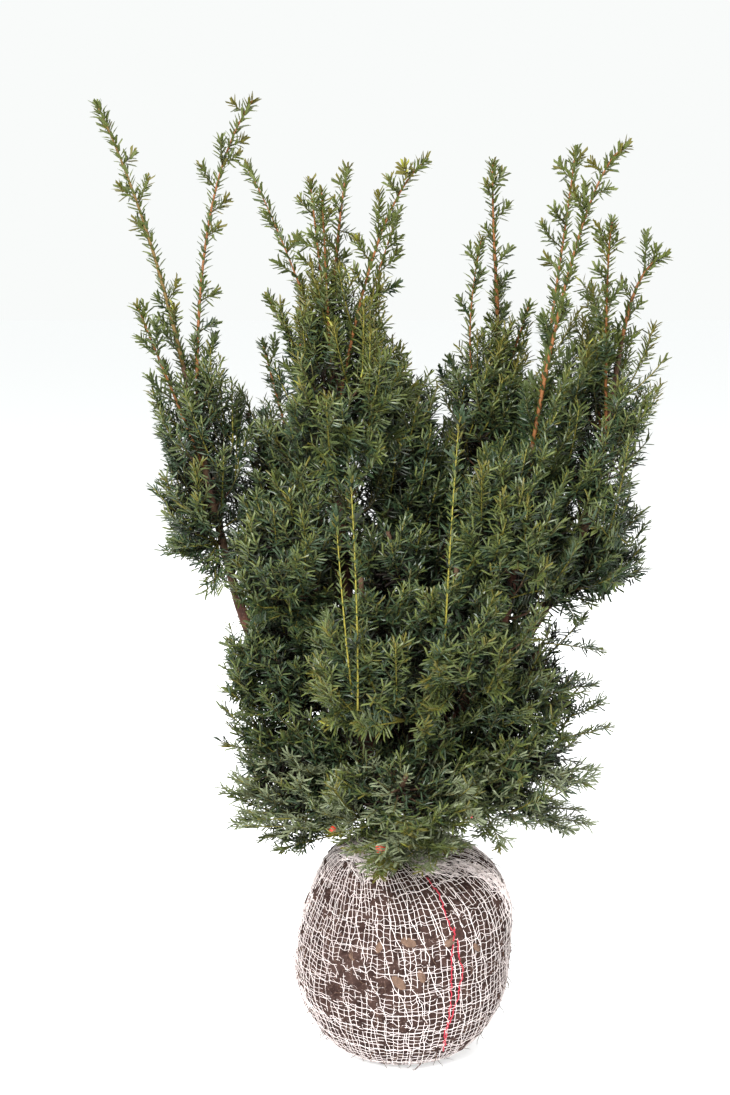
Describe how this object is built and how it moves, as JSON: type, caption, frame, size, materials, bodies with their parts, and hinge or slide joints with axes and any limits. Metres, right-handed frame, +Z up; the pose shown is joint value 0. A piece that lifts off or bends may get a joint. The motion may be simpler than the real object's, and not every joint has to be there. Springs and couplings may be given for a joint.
{
  "type": "english yew shrub on its root ball",
  "caption": "Bushy young English yew with long upright leaders, lifted from the nursery with its soil held in a netted round root ball.",
  "frame": {"origin": "centre of the root ball's flat underside, which the plant stands on", "axes": "+Z up along the plant, -Y towards the front, +X to the front's right"},
  "size_m": [0.6831, 0.4298, 1.1764],
  "materials": {
    "soil": "matte",
    "net": "matte",
    "bark": "matte",
    "twigs": "matte",
    "needles": "satin",
    "berries": "satin"
  },
  "bodies": {
    "root": {"root_ball": "soil", "trunk": "bark", "bough_left": "bark", "bough_centre": "bark", "bough_middle": "bark", "bough_right": "bark", "bough_front": "bark", "bough_back_left": "bark", "bough_back_right": "bark", "crown_left": "needles", "crown_left_inner": "needles", "crown_centre": "needles", "heart_left": "needles", "saddle": "needles", "crown_middle": "needles", "crown_right": "needles", "heart_right": "needles", "heart_middle": "needles", "shoulder_right": "needles", "flank_left": "needles", "front_left": "needles", "front_right": "needles", "flank_right": "needles", "skirt_left": "needles", "skirt_front": "needles", "skirt_right": "needles", "back_left": "needles", "back_right": "needles", "back_middle": "needles", "skirt_back": "needles"}
  },
  "joints": []
}
